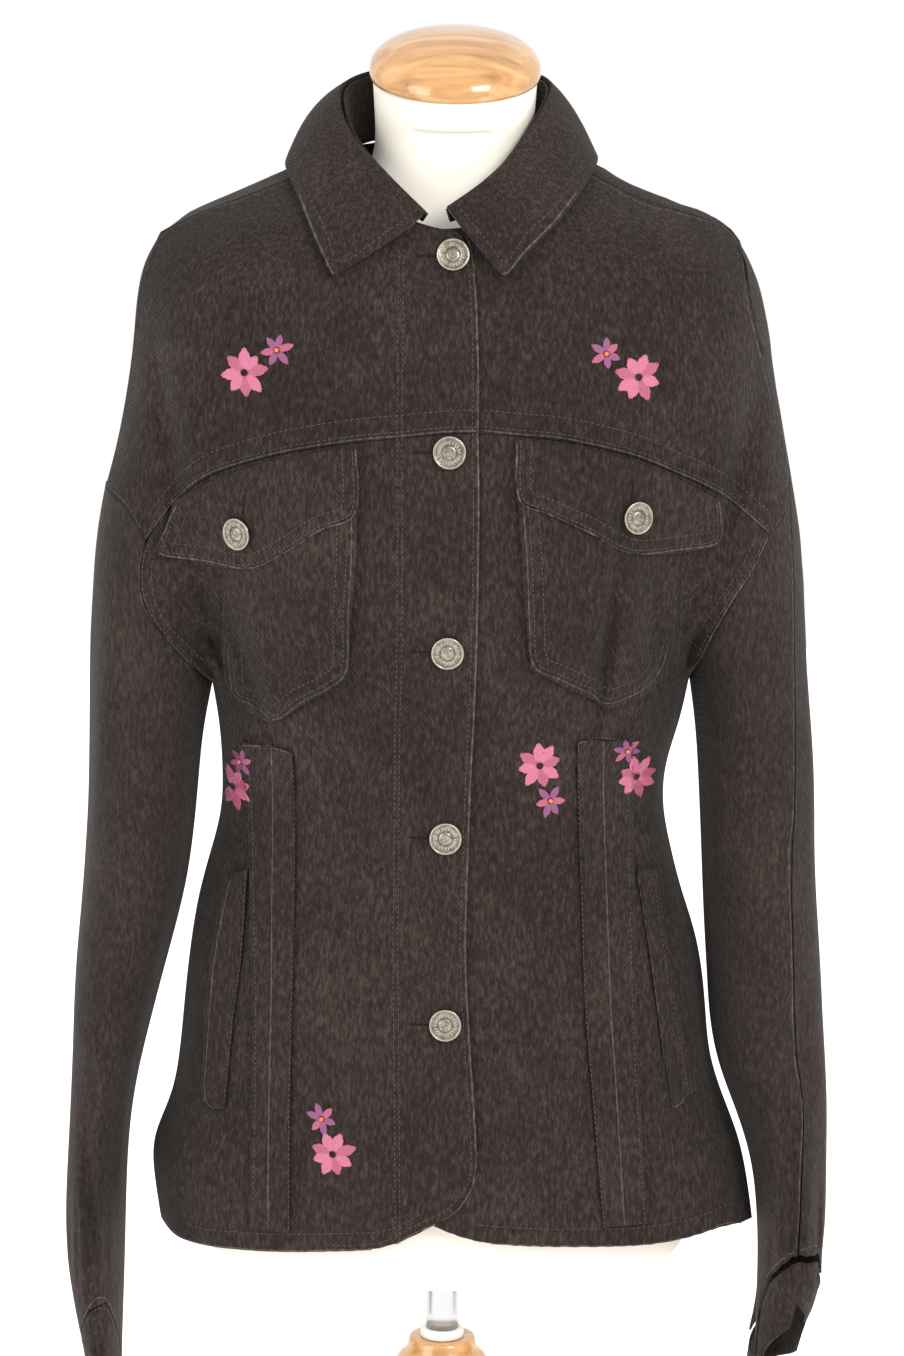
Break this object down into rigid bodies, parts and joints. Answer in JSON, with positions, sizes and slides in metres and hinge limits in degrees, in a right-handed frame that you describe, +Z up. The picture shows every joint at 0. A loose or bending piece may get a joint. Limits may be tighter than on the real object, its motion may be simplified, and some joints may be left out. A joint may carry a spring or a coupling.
{
  "type": "denim jacket on a dress form",
  "caption": "Long-sleeved washed-black denim jacket with embroidered flowers, buttoned on a limbless cream dress form with a wooden neck cap and a three-legged wooden stand.",
  "frame": {"origin": "on the floor under the pole, at the middle of the whole object's box", "axes": "+Z up along the pole, -Y towards the jacket's front, +X towards the wearer's left"},
  "size_m": [0.5028, 0.4414, 1.288],
  "materials": {
    "denim": "washed black twill, matt, paler on seams and edges",
    "button_metal": "antique nickel, worn",
    "form_cloth": "cream cotton jersey, smooth",
    "pine": "clear gloss varnish",
    "pole_steel": "satin",
    "white_plastic": "satin white"
  },
  "bodies": {
    "root": {"back_body": "denim", "back_yoke": "denim", "button_flap_L": "button_metal", "button_flap_R": "button_metal", "button_front_1": "button_metal", "button_front_2": "button_metal", "button_front_3": "button_metal", "button_front_4": "button_metal", "button_front_5": "button_metal", "chest_pocket_L": "denim", "chest_pocket_R": "denim", "collar_leaf": "denim", "collar_stand": "denim", "cuff_L": "denim", "cuff_R": "denim", "form_torso": "form_cloth", "front_body_L": "denim", "front_body_R": "denim", "front_yoke_L": "denim", "front_yoke_R": "denim", "neck_cap": "pine", "pocket_flap_L": "denim", "pocket_flap_R": "denim", "pocket_welt_L": "denim", "pocket_welt_R": "denim", "pole": "pole_steel", "pole_bushing": "white_plastic", "sleeve_back_L": "denim", "sleeve_back_R": "denim", "sleeve_front_L": "denim", "sleeve_front_R": "denim", "stand_column": "pine", "stand_leg_1": "pine", "stand_leg_2": "pine", "stand_leg_3": "pine", "tuck_L": "denim", "tuck_R": "denim"}
  },
  "joints": []
}
